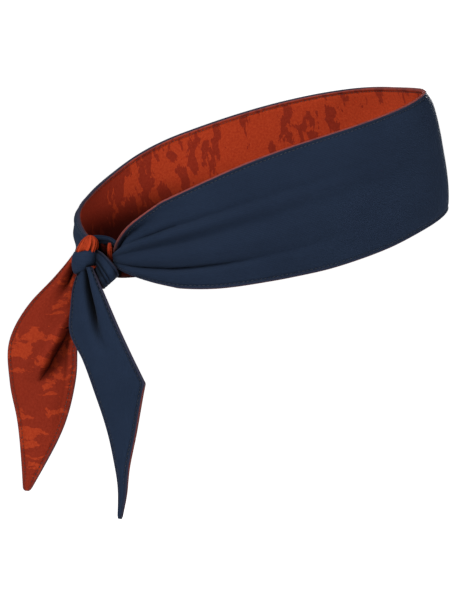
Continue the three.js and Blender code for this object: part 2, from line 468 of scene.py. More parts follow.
def strip_layer(name, surface, stations, side, seam_angles, step, spacing):
    """One layer of the strip as a closed solid, on the side of the middle surface given by side."""
    lengths, widths = strip_size(surface, stations)
    inner_columns = max(4, int(widths.max() / spacing))
    places, heights, hidden_places, hidden_heights = layer_section(widths, seam_angles, inner_columns)

    def lift(distance, height):
        across = np.clip(2 * distance / widths[:, None] - 1, -1, 1)
        along = stations[:, None]
        normals = surface_normals(surface, along, across, step)
        return surface(along, across) + side * height[..., None] * normals

    outer = lift(places, heights)
    hidden = lift(hidden_places, hidden_heights)
    rings = np.concatenate((outer, hidden[:, -2:0:-1]), 1)
    from_edge = np.concatenate((places, hidden_places[:, -2:0:-1]), 1)
    uvs = np.stack((lengths[:, None] + 0 * from_edge, from_edge - widths[:, None] / 2), -1)
    piece = solid_from_rings(name, rings, uvs, inside_out=side < 0)
    nearest = np.minimum(from_edge, widths[:, None] - from_edge)
    mark_edge(piece, bump(nearest, 0, EDGE_RADIUS))
    return piece


def mark_edge(piece, values):
    """Stores how near each point is to the seam, for the materials' painted highlight along it:
    1 on it, 0 away from it.
    """
    attribute = piece.data.attributes.new("edge_highlight_mask", "FLOAT", "POINT")
    attribute.data.foreach_set("value", np.asarray(values, np.float32).ravel())


def layered_strip(names, surface, stations, shell_side, roll, step=NORMAL_STEP, spacing=0.002):
    """The shell and the lining of a double strip. Roll is how far, as an angle, the seam lies round
    each rounded edge towards the shell's face, so that the lining shows from that side."""
    seams = [np.broadcast_to(np.asarray(angle, float), stations.shape) for angle in roll]
    turned = [-seam for seam in seams]
    shell = strip_layer(names[0], surface, stations, shell_side, seams, step, spacing)
    lining = strip_layer(names[1], surface, stations, -shell_side, turned, step, spacing)
    return shell, lining


# ---- Topstitching ----


def stitch_shape():
    """One stitch about its own middle: rings of (along, aside, up), diving in at both ends."""
    reach = np.array((-1, -0.85, -0.45, 0, 0.45, 0.85, 1)) * STITCH_LENGTH / 2
    girth = np.array((0.25, 0.8, 1, 1, 1, 0.8, 0.25)) * STITCH_RADIUS
    dive = np.array((-1.2, -0.3, 0.35, 0.5, 0.35, -0.3, -1.2)) * STITCH_RADIUS
    turn = np.arange(6) * math.pi / 3
    aside = girth[:, None] * np.cos(turn)
    up = girth[:, None] * np.sin(turn) + dive[:, None]
    along = reach[:, None] + 0 * aside
    return np.stack((along, aside, up), -1)


def stitch_row(path, normals):
    """Vertices of the stitches along a path that lies on the cloth's face."""
    steps = np.linalg.norm(np.diff(path, axis=0), axis=1)
    walked = np.concatenate(([0], np.cumsum(steps)))
    count = max(1, int(walked[-1] / STITCH_PITCH))
    at = (np.arange(count) + 0.5) * walked[-1] / count

    def sample(values, where):
        return np.stack([np.interp(where, walked, values[:, k]) for k in range(3)], -1)

    half = STITCH_LENGTH / 2
    tangent = unit(sample(path, at + half) - sample(path, at - half))
    up = unit(sample(normals, at))
    aside = unit(np.cross(up, tangent))
    shape = stitch_shape().reshape(-1, 3)
    spots = sample(path, at)[:, None, :]
    return (
        spots + shape[None, :, :1] * tangent[:, None]
        + shape[None, :, 1:2] * aside[:, None] + shape[None, :, 2:] * up[:, None]
    )


def topstitching(name, rows):
    """One mesh of all the stitches along rows, a list of (path, normals) that takes turns between
    the navy face and the printed face. The printed face's stitches use the second material."""
    shape = stitch_shape()
    runs = [stitch_row(path, normals) for path, normals in rows]
    stitches = np.concatenate(runs)
    one = ring_faces(*shape.shape[:2])
    size = shape.shape[0] * shape.shape[1]
    faces = [tuple(i * size + v for v in face) for i in range(len(stitches)) for face in one]
    flat_uv = np.zeros((len(stitches) * size, 2))
    piece = mesh_object(name, stitches.reshape(-1, 3), faces, flat_uv, sharp_angle=80)
    face_of_run = np.concatenate([np.full(len(run) * len(one), k % 2) for k, run in enumerate(runs)])
    finish_piece(piece, THREAD, "thread")
    piece.data.materials.append(BOBBIN_THREAD)
    piece.data.polygons.foreach_set("material_index", face_of_run.astype(np.int32))
    return piece


def stitch_lines(surface, stations, edge_side, shell_side, short=0.0):
    """The lines of topstitching along one edge, on the navy face and then on the printed one.
    Edge side is -1 or +1, and short is how far before the strip's end they stop."""
    lengths, widths = strip_size(surface, stations)
    usable = (widths > 3 * STITCH_INSET) & (lengths < lengths[-1] - short)
    along = stations[usable]
    across = edge_side * (1 - 2 * STITCH_INSET / widths[usable])
    middle = surface(along, across)
    normals = surface_normals(surface, along, across, NORMAL_STEP)
    height = half_thickness(STITCH_INSET)
    return [(middle + face * height * normals, face * normals) for face in (shell_side, -shell_side)]


# ---- Rolled cloth ----


def rolled_strand(name, points, half_widths, half_depths, facing, pleats=(), squareness=2.2,
                  closed=False, dome=0.0, crown=0.0, rows=48, columns=48):
    """Cloth rolled or folded into a rope along a path. Half widths run across the view from
    facing and half depths towards it. Pleats are (count, depth, phase, drift) round the rope,
    dome is the share of the path over which its far end closes to a round top, and crown is how
    far a flat rope's two edges bend aside from its middle."""
    t = np.linspace(0, 1, rows, endpoint=not closed)
    if dome:
        t = 1 - (1 - t) ** 1.5
    path = path_through(points)
    knots = np.linspace(0, 1, len(half_widths))
    centre = path(t)
    width = curve_through(knots, half_widths)(t)[:, None]
    depth = curve_through(knots, half_depths)(t)[:, None]
    if dome:
        closing = np.sqrt(1 - np.clip((t[:, None] - 1 + dome) / dome, 0, 0.995) ** 2)
        width = width * closing
        depth = depth * closing
    if closed:
        tangent = unit(np.roll(centre, -1, 0) - np.roll(centre, 1, 0))
    else:
        tangent = unit(np.gradient(centre, axis=0))
    side = unit(np.cross(tangent, np.broadcast_to(facing, tangent.shape)))
    front = np.cross(side, tangent)
    turn = np.linspace(0, 2 * math.pi, columns, endpoint=False)[None, :]
    power = 2 / squareness
    across = np.sign(np.cos(turn)) * np.abs(np.cos(turn)) ** power
    out = np.sign(np.sin(turn)) * np.abs(np.sin(turn)) ** power
    swell = np.ones((rows, columns))
    for count, pleat_depth, phase, drift in pleats:
        wave = np.cos(count * turn + phase + drift * t[:, None])
        swell -= pleat_depth * (0.5 + 0.5 * wave) ** 3
    rings = (
        centre[:, None] + (width * across * swell + crown * out**2)[..., None] * side[:, None]
        + (depth * out * swell)[..., None] * front[:, None]
    )
    walked = np.concatenate(([0], np.cumsum(np.linalg.norm(np.diff(centre, axis=0), axis=1))))
    girth = turn * (width + depth) / 2
    uvs = np.stack((walked[:, None] + 0 * girth, girth), -1)
    return solid_from_rings(name, rings, uvs, closed, inside_out=True)


# ---- Materials ----


class Nodes:
    """Short hand for wiring a material's nodes."""

    def __init__(self, name):
        self.material = bpy.data.materials.new(name)
        self.material.use_nodes = True
        self.tree = self.material.node_tree
        self.shader = self.tree.nodes["Principled BSDF"]

    def add(self, kind, settings=None, **inputs):
        node = self.tree.nodes.new(kind)
        for key, value in (settings or {}).items():
            setattr(node, key, value)
        for key, value in inputs.items():
            self.feed(node.inputs[key.replace("_", " ")], value)
        return node

    def feed(self, socket, value):
        if isinstance(value, bpy.types.NodeSocket):
            self.tree.links.new(value, socket)
        else:
            socket.default_value = value

    def math(self, operation, first, second=0.0):
        node = self.add("ShaderNodeMath", {"operation": operation})
        self.feed(node.inputs[0], first)
        self.feed(node.inputs[1], second)
        return node.outputs[0]

    def set_shader(self, **inputs):
        for key, value in inputs.items():
            self.feed(self.shader.inputs[key.replace("_", " ")], value)

    def weighted_sum(self, first, first_weight, second, second_weight):
        weighted = self.math("MULTIPLY", first, first_weight)
        return self.math("ADD", weighted, self.math("MULTIPLY", second, second_weight))

    def mix(self, share, first, second, way="MIX"):
        node = self.add("ShaderNodeMix", {"data_type": "RGBA", "blend_type": way})
        for place, value in ((0, share), (6, first), (7, second)):
            self.feed(node.inputs[place], value)
        return node.outputs[2]

    def step(self, value, low, high):
        """0 below low, 1 above high."""
        node = self.add("ShaderNodeMapRange", Value=value)
        node.interpolation_type = "SMOOTHSTEP"
        node.inputs["From Min"].default_value = low
        node.inputs["From Max"].default_value = high
        return node.outputs[0]

    def shaded_hollows(self, colour, reach, depth):
        """The colour, darkened by painted shade where other cloth stands within reach of the
        surface.
        """
        occlusion = self.add("ShaderNodeAmbientOcclusion", {"samples": 8}, Distance=reach)
        open_share = self.math("POWER", occlusion.outputs["AO"], depth)
        return self.mix(1.0, colour, open_share, "MULTIPLY")

    def painted_seam_highlight(self, colour, share, highlight_colour):
        """The colour, moved by a share towards a painted highlight colour along the seam's rounded
        edge.
        """
        seam = self.add("ShaderNodeAttribute", {"attribute_name": "edge_highlight_mask"}).outputs["Fac"]
        return self.mix(self.math("MULTIPLY", seam, share), colour, highlight_colour)

    def cloth_millimetres(self):
        """Distance along and across the strip, in millimetres."""
        place = self.add("ShaderNodeUVMap", {"uv_map": "cloth"})
        split = self.add("ShaderNodeSeparateXYZ", Vector=place.outputs[0])
        return [self.math("MULTIPLY", split.outputs[k], 1000.0) for k in range(2)]

    def noise(self, along, across, scale_along, scale_across, detail=2.0, roughness=0.5, layer=0.0):
        place = self.add(
            "ShaderNodeCombineXYZ",
            X=self.math("MULTIPLY", along, scale_along),
            Y=self.math("MULTIPLY", across, scale_across),
            Z=layer,
        )
        noise = self.add(
            "ShaderNodeTexNoise", {"noise_dimensions": "3D"},
            Vector=place.outputs[0], Scale=1.0, Detail=detail, Roughness=roughness,
        )
        return noise.outputs["Fac"]


def knit_height(nodes, along, across, wale, course):
    """Rows of small V stitches: wale is the width of a column and course the height of a row."""
    column = nodes.math("FRACT", nodes.math("DIVIDE", across, wale))
    from_middle = nodes.math("ABSOLUTE", nodes.math("SUBTRACT", column, 0.5))
    slant = nodes.math("MULTIPLY", from_middle, 1.3)
    row = nodes.math("ADD", nodes.math("DIVIDE", along, course), slant)
    loops = nodes.math("SINE", nodes.math("MULTIPLY", row, 2 * math.pi))
    round_column = nodes.math("COSINE", nodes.math("MULTIPLY", from_middle, math.pi))
    return nodes.math("ADD", nodes.math("MULTIPLY", loops, 0.35), round_column)


def add_knit(nodes, along, across, strength, fuzz, shine):
    height = knit_height(nodes, along, across, wale=0.9, course=0.75)
    rough = nodes.noise(along, across, 0.35, 0.35, detail=4.0, roughness=0.6, layer=3.0)
    height = nodes.math("ADD", height, nodes.math("MULTIPLY", rough, 1.2))
    bump_node = nodes.add("ShaderNodeBump", Strength=strength, Distance=0.0001, Height=height)
    nodes.set_shader(Normal=bump_node.outputs[0], Sheen_Weight=fuzz, Sheen_Roughness=0.45)
    nodes.set_shader(Specular_IOR_Level=shine)
    return height


def toned(colours, tone):
    """Colours made brighter or darker by a factor, with an alpha of 1."""
    return [(tone * red, tone * green, tone * blue, 1) for red, green, blue in colours]


NAVY_TONES = ((0.0072, 0.0146, 0.0330), (0.0115, 0.0218, 0.0465), (0.0148, 0.0270, 0.0560))
# Paler, pinkish navy painted along the seam's rounded edge as a highlight.
NAVY_EDGE_HIGHLIGHT = (0.060, 0.042, 0.060, 1)
GROUND_TONES = ((0.42, 0.042, 0.0135), (0.53, 0.062, 0.019))
BRICK_TONES = ((0.25, 0.024, 0.0110), (0.30, 0.032, 0.0150))
# Paler, pinkish colour painted along the print's seam edge as a highlight.
PRINT_EDGE_HIGHLIGHT = ((0.13, 0.058, 0.060),)
# Near-black red painted as shade in the gap between the arms near the knot.
POCKET_SHADE_COLOUR = (0.012, 0.0015, 0.001, 1)
PRINT_SPREAD = 0.16  # how much the blotches' cut-off level moves as their share goes from 0 to 1


def make_navy_knit(name, shade, tone=1.0):
    """Shade is how strongly cloth that stands near darkens it with painted shade, and tone its
    brightness.
    """
    nodes = Nodes(name)
    along, across = nodes.cloth_millimetres()
    height = add_knit(nodes, along, across, strength=0.35, fuzz=0.05, shine=0.12)
    drift = nodes.noise(along, across, 0.03, 0.05, detail=3.0, roughness=0.55, layer=1.0)
    heather = nodes.noise(along, across, 0.5, 1.6, detail=3.0, roughness=0.7, layer=2.0)
    mottle = nodes.weighted_sum(drift, 0.45, heather, 0.55)
    dark, light, raised = toned(NAVY_TONES, tone)
    colour = nodes.mix(nodes.step(mottle, 0.3, 0.7), dark, light)
    colour = nodes.mix(nodes.math("MULTIPLY", nodes.step(height, 0.6, 1.9), 0.35), colour, raised)
    colour = nodes.shaded_hollows(colour, 0.008, shade)
    # Painted highlight along the seam's rounded edge.
    colour = nodes.painted_seam_highlight(colour, 0.5, NAVY_EDGE_HIGHLIGHT)
    roughness = nodes.math("ADD", nodes.math("MULTIPLY", heather, 0.2), 0.7)
    nodes.set_shader(Base_Color=colour, Sheen_Tint=(0.35, 0.5, 0.8, 1), Roughness=roughness)
    return nodes.material


def blotch_cut_off(nodes, along, brick_share, knot_brick_and_shade_share, fade):
    """The level of noise above which the print is brick-red. Near the knot it drops, for more
    brick-red that is partly print and partly painted shade.
    """
    level = 0.5 + PRINT_SPREAD * (0.5 - brick_share)
    if knot_brick_and_shade_share is None:
        return level
    shift = PRINT_SPREAD * (brick_share - knot_brick_and_shade_share)
    return nodes.math("ADD", level + shift, nodes.math("MULTIPLY", nodes.step(along, *fade), -shift))


def painted_pocket_shade(nodes, colour, along, across, pocket):
    """The colour, darkened with painted shade where little light gets down into the gap between
    the two arms.
    """
    depth = nodes.math("SUBTRACT", 1.0, nodes.step(across, -4.0, 15.0))
    nearness = nodes.math("SUBTRACT", 1.0, nodes.step(along, *pocket))
    dark = nodes.math("MULTIPLY", nodes.math("MULTIPLY", depth, nearness), 0.9)
    return nodes.mix(dark, colour, POCKET_SHADE_COLOUR)


def make_printed_knit(name, brick_share, hollow, shade=3.0, tone=1.0, contrast=1.0,
                      knot_brick_and_shade_share=None, fade=None, pocket=None):
    """Orange-red ground with ragged brick-red blotches that run across the strip. Brick share sets
    how much of the ground they cover, and knot share replaces it where along is below fade's start:
    more brick-red near the knot, partly the print and partly painted shade. Hollow is how near other
    cloth has to stand to cast painted shade on the print, shade how strongly it does, tone the print's
    brightness and contrast the blotches'. Pocket is the two places along the strip between which the
    painted shade of the dark gap between the arms ends. Distances are in millimetres."""
    nodes = Nodes(name)
    along, across = nodes.cloth_millimetres()
    add_knit(nodes, along, across, strength=0.3, fuzz=0.01, shine=0.03)
    sway = nodes.noise(along, across, 0.09, 0.09, detail=2.0, layer=5.0)
    warped = nodes.math("ADD", along, nodes.math("MULTIPLY", nodes.math("SUBTRACT", sway, 0.5), 7.0))
    large = nodes.noise(warped, across, 0.085, 0.036, detail=1.0, roughness=0.5, layer=7.0)
    ragged = nodes.noise(warped, across, 0.26, 0.10, detail=4.0, roughness=0.62, layer=9.0)
    field = nodes.weighted_sum(large, 0.5, ragged, 0.5)
    level = blotch_cut_off(nodes, along, brick_share, knot_brick_and_shade_share, fade)
    blotch = nodes.step(nodes.math("SUBTRACT", field, level), -0.004, 0.004)
    fine = nodes.noise(along, across, 0.7, 0.7, detail=3.0, roughness=0.7, layer=11.0)
    ground = nodes.mix(nodes.step(fine, 0.3, 0.7), *toned(GROUND_TONES, tone))
    brick = nodes.mix(nodes.step(fine, 0.3, 0.7), *toned(BRICK_TONES, tone))
    colour = nodes.mix(nodes.math("MULTIPLY", blotch, contrast), ground, brick)
    colour = nodes.shaded_hollows(colour, hollow, shade)
    if pocket is not None:
        colour = painted_pocket_shade(nodes, colour, along, across, pocket)
    # Painted highlight along the seam's rounded edge.
    colour = nodes.painted_seam_highlight(colour, 0.8, *toned(PRINT_EDGE_HIGHLIGHT, tone))
    roughness = nodes.math("ADD", nodes.math("MULTIPLY", fine, 0.2), 0.68)
    nodes.set_shader(Base_Color=colour, Sheen_Tint=(1.0, 0.45, 0.3, 1), Roughness=roughness)
    return nodes.material


def make_thread(name, dark, light):
    nodes = Nodes(name)
    place = nodes.add("ShaderNodeTexCoord").outputs["Object"]
    twist = nodes.add("ShaderNodeTexNoise", Vector=place, Scale=2500.0, Detail=2.0)
    colour = nodes.mix(twist.outputs["Fac"], dark, light)
    nodes.set_shader(Base_Color=colour, Roughness=0.5, Sheen_Weight=0.1)
    return nodes.material


NAVY = make_navy_knit("navy_knit", shade=0.8)
# The knot's and the tails' navy: the same knit with much deeper painted shade where cloth stands near,
# and a brighter tone.
SHADED_KNOT_NAVY = make_navy_knit("knot_navy_knit", shade=3.2, tone=1.14)
# The band's lining gets painted shade near the knot and in the gap between the arms.
BAND_PRINT = make_printed_knit(
    "band_print", 0.20, 0.070, tone=1.04, contrast=0.92,
    knot_brick_and_shade_share=0.85, fade=(80.0, 165.0), pocket=(80.0, 200.0),
)
TAIL_PRINT = make_printed_knit("tail_print", 0.74, 0.014, shade=1.8, tone=0.78, contrast=0.85)
PLAIN_ORANGE = make_printed_knit("knot_print", 0.1, 0.006, tone=0.9)
# Print painted dark as shade, for cloth deep in the knot's hollow and turned under beside it.
SHADE_DARKENED_PRINT = make_printed_knit("knot_hollow_shaded_print", 1.0, 0.012, tone=0.3)
THREAD = make_thread("navy_thread", (0.004, 0.008, 0.018, 1), (0.010, 0.018, 0.036, 1))
BOBBIN_THREAD = make_thread("wine_thread", (0.050, 0.010, 0.009, 1), (0.095, 0.018, 0.014, 1))


def finish_piece(piece, material, slot, *replaced):
    piece.data.materials.append(material)
    if replaced:
        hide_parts(*replaced)


def finish_on_band(piece, material, slot, *replaced):
    finish_piece(piece, material, slot, *replaced)
    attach(piece, "band")


# ---- Head loop ----


def loop_plan(angle):
    """A point of the loop from above, on the middle surface. The angle is 0 at the forehead and
    grows towards -X."""
    inset = HALF_THICKNESS + LOOP_EASE
    power = 2 / LOOP_SQUARENESS
    along = np.cos(angle)
    across = np.sin(angle)
    x = -(LOOP_HALF_WIDTH - inset) * np.sign(across) * np.abs(across) ** power * (1 + LOOP_EGG * along)
    y = -(LOOP_HALF_LENGTH - inset) * np.sign(along) * np.abs(along) ** power
    return np.stack((x, y), -1)


def band_width(y):
    back = np.clip(y / LOOP_HALF_LENGTH, 0, 0.999)
    return BAND_WIDTH * np.sqrt(1 - back**2)


def arm(side, elbow, entry, end_width, reach):
    """The last stretch of an arm, from the loop's curve into the knot: rows of (x, y, middle, width)
    in the band's frame."""
    start = loop_plan(side * LOOP_END)
    heading = unit(start - loop_plan(side * (LOOP_END - 0.01)))
    goal = unpitched(knot_point(*entry))
    controls = (start, start + reach * heading, unpitched(knot_point(*elbow))[:2], goal[:2])
    t = np.linspace(0, 1, 16)[1:, None]
    plan = (
        (1 - t) ** 3 * controls[0] + 3 * (1 - t) ** 2 * t * controls[1]
        + 3 * (1 - t) * t * t * controls[2] + t**3 * controls[3]
    )
    progress = t[:, 0]
    start_middle = -math.tan(BAND_SLOPE) * start[1]
    start_width = band_width(start[1])
    middle = start_middle + (goal[2] - start_middle) * progress**1.3
    width = start_width + (end_width - start_width) * (0.85 * progress + 0.15 * progress**2)
    return np.column_stack((plan, middle, width))


def band_course():
    """The whole band from the far arm's end to the near arm's: walked length and its course."""
    angles = np.linspace(-LOOP_END, LOOP_END, 160)
    plan = loop_plan(angles)
    y = plan[:, 1]
    loop = np.column_stack((plan, -math.tan(BAND_SLOPE) * y, band_width(y)))
    rows = np.concatenate((arm(-1, **FAR_ARM)[::-1], loop, arm(1, **NEAR_ARM)))
    steps = np.linalg.norm(np.diff(rows[:, :2], axis=0), axis=1)
    walked = np.concatenate(([0], np.cumsum(steps)))
    return walked[-1], curve_through(walked, rows)


BAND_LENGTH, BAND_COURSE = band_course()
TOP_RISE = curve_through(*zip(*TOP_STRAY))
BOTTOM_RISE = curve_through(*zip(*BOTTOM_STRAY))


def swelling(shape, distance):
    height, place, reach = shape
    return height * bump(distance, place, reach)


def band_relief(along, across):
    """How far the middle surface stands outside the plain loop."""
    to_near = BAND_LENGTH - along
    crown, starts, full = CROWN
    out = crown * (1 - np.abs(across) ** 3) * smoothstep(np.minimum(along, to_near), starts, full)
    out = out + (1 - across**6) * swelling(FAR_BULGE, along)
    for folds, distance in ((NEAR_FOLDS, to_near), (FAR_FOLDS, along)):
        for place, spread, height, raised, reach in folds:
            life = smoothstep(distance, 0, raised) * bump(distance, 0, reach)
            out = out + height * life * bump(across, place, spread)
    out = out + swelling(FAR_CORNER, along)
    return out - smoothstep(across, 0.75, 1) * swelling(FRONT_TUCK, to_near)


def band_surface(along, across):
    along, across = np.broadcast_arrays(along, across)
    course = BAND_COURSE(along)
    ahead = BAND_COURSE(along + NORMAL_STEP)[..., :2] - BAND_COURSE(along - NORMAL_STEP)[..., :2]
    heading = unit(ahead)
    outward = np.stack((-heading[..., 1], heading[..., 0]), -1)
    plan = course[..., :2] + outward * band_relief(along, across)[..., None]
    rise = np.where(across > 0, across * TOP_RISE(along), -across * BOTTOM_RISE(along))
    height = course[..., 2] + across * course[..., 3] / 2 + rise
    return pitched(np.concatenate((plan, height[..., None]), -1))


def band_roll(stations):
    """The seam shows from outside along the near arm, turns over at the forehead, and shows from
    inside along the far arm up to the knot."""
    far_roll = SHELL_ROLL * smoothstep(stations, 0.030, 0.070)
    near_share = smoothstep(stations, 0.40 * BAND_LENGTH, 0.55 * BAND_LENGTH)
    return far_roll + (SEAM_ROLL - far_roll) * near_share


def make_band():
    stations = np.linspace(0, BAND_LENGTH, int(BAND_LENGTH / BAND_STATION))
    roll = band_roll(stations)
    shell, lining = layered_strip(
        ("head_band_shell", "head_band_lining"), band_surface, stations,
        shell_side=-1, roll=(0.6 * roll, roll),
    )
    finish_on_band(shell, NAVY, "shell_fabric", "band_shell")
    finish_on_band(lining, BAND_PRINT, "lining_fabric", "band_lining")
    stitched = stations[6:-6]  # the last centimetre of each arm is inside the knot
    for edge, label in ((1, "top"), (-1, "bottom")):
        lines = stitch_lines(band_surface, stitched, edge, -1)
        stitches = topstitching(f"head_band_{label}_topstitch", lines)
        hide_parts(f"band_{label}_stitching")
        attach(stitches, "band")


# ---- Knot ----


def knot_points(points):
    return [knot_point(*point) for point in points]


def make_rope(name, points, half_widths, half_depths, dress, facing=KNOT_FRONT, **shape):
    """A strand of the knot. Dress is its material, a slot name that is not used, and the CAD nodes
    that it replaces.
    """
    rope = rolled_strand(name, knot_points(points), half_widths, half_depths, facing, **shape)
    finish_on_band(rope, *dress)


def make_knot_hump():
    """The cloth turned over itself at the top of the knot, print side out, gathered in pleats."""
    points = (
        (-0.0022, 0.0005, -0.0085), (-0.0010, 0.0018, -0.0020), (0.0004, 0.0025, 0.0035),
        (0.0024, 0.0025, 0.0085), (0.0030, 0.0020, 0.0124),
    )
    half_widths = (0.0034, 0.0040, 0.0056, 0.0054, 0.0046)
    half_depths = (0.0026, 0.0030, 0.0042, 0.0048, 0.0042)
    pleats = ((9, 0.16, 0.6, 1.2), (14, 0.10, 2.1, -2.0), (5, 0.08, 4.0, 0.5))
    dress = (PLAIN_ORANGE, "lining_fabric", "knot_core")
    make_rope(
        "knot_hump", points, half_widths, half_depths, dress,
        pleats=pleats, dome=0.24, rows=72, columns=96,
    )


def make_knot_wrap():
    """The turn of the strip that holds the knot shut."""
    right, front, up = WRAP_CENTRE
    turn = np.linspace(0, 2 * math.pi, 25)
    points = np.column_stack((
        right + WRAP_RADIUS * np.cos(turn),
        front + WRAP_RADIUS * np.sin(turn),
        up + WRAP_TILT * np.cos(turn),
    ))
    half_depths = (0.0045, 0.0050, 0.0060, 0.0050, 0.0045)
    half_widths = (WRAP_HALF_THICKNESS,) * len(half_depths)
    dress = (SHADED_KNOT_NAVY, "shell_fabric", "knot_wrap")
    make_rope(
        "knot_wrap_turn", points, half_widths, half_depths, dress, UP,
        squareness=3.2, closed=True, crown=0.0009, rows=96, columns=48,
    )


def make_back_strand():
    """The far arm's end where it passes behind the knot."""
    points = (
        (0.0015, -0.004, 0.0066), (0.0070, -0.0045, 0.0078), (0.0120, -0.005, 0.0080),
        (0.0178, 0.0005, 0.0056),
    )
    half_widths = (0.0050, 0.0041, 0.0026, 0.0012)
    half_depths = (0.0032, 0.0030, 0.0024, 0.0012)
    dress = (SHADED_KNOT_NAVY, "shell_fabric", "knot_left_strand")
    make_rope(
        "knot_back_strand", points, half_widths, half_depths, dress,
        pleats=((7, 0.12, 0.0, 1.0),), rows=40, columns=64,
    )


def strip_between(first, second, crown, pleats):
    """A surface between two edge paths, crowned towards the knot's front, with pleats along it."""
    first = path_through(knot_points(first))
    second = path_through(knot_points(second))

    def surface(along, across):
        along, across = np.broadcast_arrays(along, across)
        share = (across[..., None] + 1) / 2
        points = first(along) * (1 - share) + second(along) * share
        out = crown * (1 - across**2)
        for place, spread, height in pleats:
            out = out + height * bump(across, place, spread) * smoothstep(1.05 - along, 0, 0.3)
        return points + out[..., None] * KNOT_FRONT

    return surface


def make_knot_strip(names, surface, rows, roll, print_material, *replaced):
    """A piece of the double strip in the knot, over which along goes from 0 to 1."""
    shell, lining = layered_strip(
        names, surface, np.linspace(0, 1, rows), shell_side=-1, roll=roll, step=0.01, spacing=0.0005,
    )
    finish_on_band(shell, SHADED_KNOT_NAVY, "shell_fabric", *replaced)
    finish_on_band(lining, print_material, "lining_fabric")


def make_front_strand():
    """The near arm's lower half, pleated and folded back under the knot."""
    upper = [
        (0.0050, 0.0016, 0.0053), (0.0092, 0.0052, 0.0033), (0.0139, 0.0088, -0.0008),
        (0.0168, 0.0100, -0.0042), (0.0176, 0.0090, -0.0063), (0.0170, 0.0056, -0.0084),
        (0.0145, 0.0010, -0.0092),
    ]
    lower = [
        (0.0020, 0.0010, -0.0020), (0.0045, 0.0022, -0.0062), (0.0062, 0.0040, -0.0100),
        (0.0076, 0.0058, -0.0130), (0.0085, 0.0045, -0.0152), (0.0092, 0.0015, -0.0155),
        (0.0095, -0.0015, -0.0130),
    ]
    pleats = (
        (0.80, 0.08, -0.0016), (0.60, 0.08, 0.0010), (0.36, 0.07, -0.0020), (0.02, 0.10, -0.0014),
    )
    surface = strip_between(upper, lower, 0.0016, pleats)
    names = ("knot_front_strand", "knot_front_strand_lining")
    make_knot_strip(names, surface, 50, (0.1, 0.0), PLAIN_ORANGE, "knot_right_strand")


def make_turned_lining():
    """Print side of the near arm's end, seen between the strands and under the wrap."""
    between = [
        (0.0126, 0.000, 0.0078), (0.0130, 0.002, 0.0050), (0.0134, 0.003, 0.0018),
        (0.0142, 0.0035, -0.0016),
    ]
    # The hollow lump is lining deep in the knot, painted dark as shade.
    hollow = [
        (0.0070, -0.001, 0.0064), (0.0095, -0.001, 0.0040), (0.0125, -0.001, 0.0005),
        (0.0150, 0.000, -0.003),
    ]
    peek = [(0.0012, 0.0050, -0.0050), (0.0038, 0.0060, -0.0046), (0.0056, 0.0048, -0.0040)]
    lumps = (
        (
            "knot_turned_lining", PLAIN_ORANGE, between,
            (0.0008, 0.0016, 0.0017, 0.0009), (0.0008, 0.0018, 0.0018, 0.0012),
        ),
        (
            "knot_hollow_lining", SHADE_DARKENED_PRINT, hollow,
            (0.0022, 0.0030, 0.0030, 0.0020), (0.0020, 0.0022, 0.0022, 0.0020),
        ),
        (
            "knot_lining_peek", PLAIN_ORANGE, peek,
            (0.0008, 0.0011, 0.0007), (0.0008, 0.0012, 0.0007),
        ),
    )
    for name, material, points, widths, depths in lumps:
        dress = (material, "lining_fabric")
        make_rope(
            name, points, widths, depths, dress, pleats=((6, 0.14, 1.0, 1.5),), rows=40, columns=48,
        )


def make_lower_fold():
    """The near arm's bottom edge turned under beside the knot, print side out."""
    deep, shallow = UNDERFOLD_DEPTHS
    shift = knot_point(*UNDERFOLD_SHIFT) - KNOT_CENTRE

    def surface(along, across):
        along, across = np.broadcast_arrays(along, across)
        from_end = UNDERFOLD_START + UNDERFOLD_LENGTH * along
        edge = band_surface(BAND_LENGTH - from_end, UNDERFOLD_FROM)
        depth = deep + (shallow - deep) * along
        drop = (1 - across) / 2 * depth
        return edge + shift - drop[..., None] * UP

    names = ("knot_lower_fold_cloth", "knot_lower_fold_print")
    # The turned-under print is painted dark as shade.
    make_knot_strip(names, surface, 30, (0.0, 0.0), SHADE_DARKENED_PRINT)


def make_knot():
    make_knot_hump()
    make_knot_wrap()
    make_back_strand()
    make_front_strand()
    make_turned_lining()
    make_lower_fold()


# ---- Tails ----


def edge_curve(stretches):
    """Distance across as a function of height, smooth along each stretch between corners."""
    curves = []
    for stretch in stretches:
        heights, places = zip(*sorted(stretch))
        curves.append((heights[0], heights[-1], curve_through(heights, places)))
    lowest = min(low for low, high, curve in curves)
    highest = max(high for low, high, curve in curves)

    def place(height):
        height = np.clip(height, lowest, highest)
        result = np.zeros_like(height)
        for low, high, curve in curves:
            inside = (height >= low) & (height <= high)
            result = np.where(inside, curve(height), result)
        return result

    return place


def tail_surface(exit_point, tail, drape):
    """The middle surface of a tail: along is the depth below the tail's exit."""
    start_edge = edge_curve([tail["start"]])
    end_edge = edge_curve(tail["end"])
    across_way = np.array((math.cos(tail["yaw"]), math.sin(tail["yaw"]), 0))
    out_way = np.array((-math.sin(tail["yaw"]), math.cos(tail["yaw"]), 0))
    tip = -tail["start"][-1][0]

    def surface(along, across):
        along, across = np.broadcast_arrays(along, across)
        height = -along
        first = start_edge(height)
        last = end_edge(height)
        past = np.clip((along - (tip - TAIL_TIP_ROUND)) / TAIL_TIP_ROUND, 0, 0.995)
        rounded = across * np.sqrt(1 - past**2)
        place = (first + last) / 2 + rounded * (last - first) / 2
        out = drape(along, across)
        points = exit_point + place[..., None] * across_way + out[..., None] * out_way
        return points + height[..., None] * UP

    return surface, tip


def neck_relief(tail, along, across):
    """The pleats in which a tail comes out of the knot."""
    out = 0
    for place, spread, height, starts_fading, gone in tail["neck_pleats"]:
        life = 1 - smoothstep(along, starts_fading, gone)
        out = out + height * life * bump(across, place, spread)
    return out


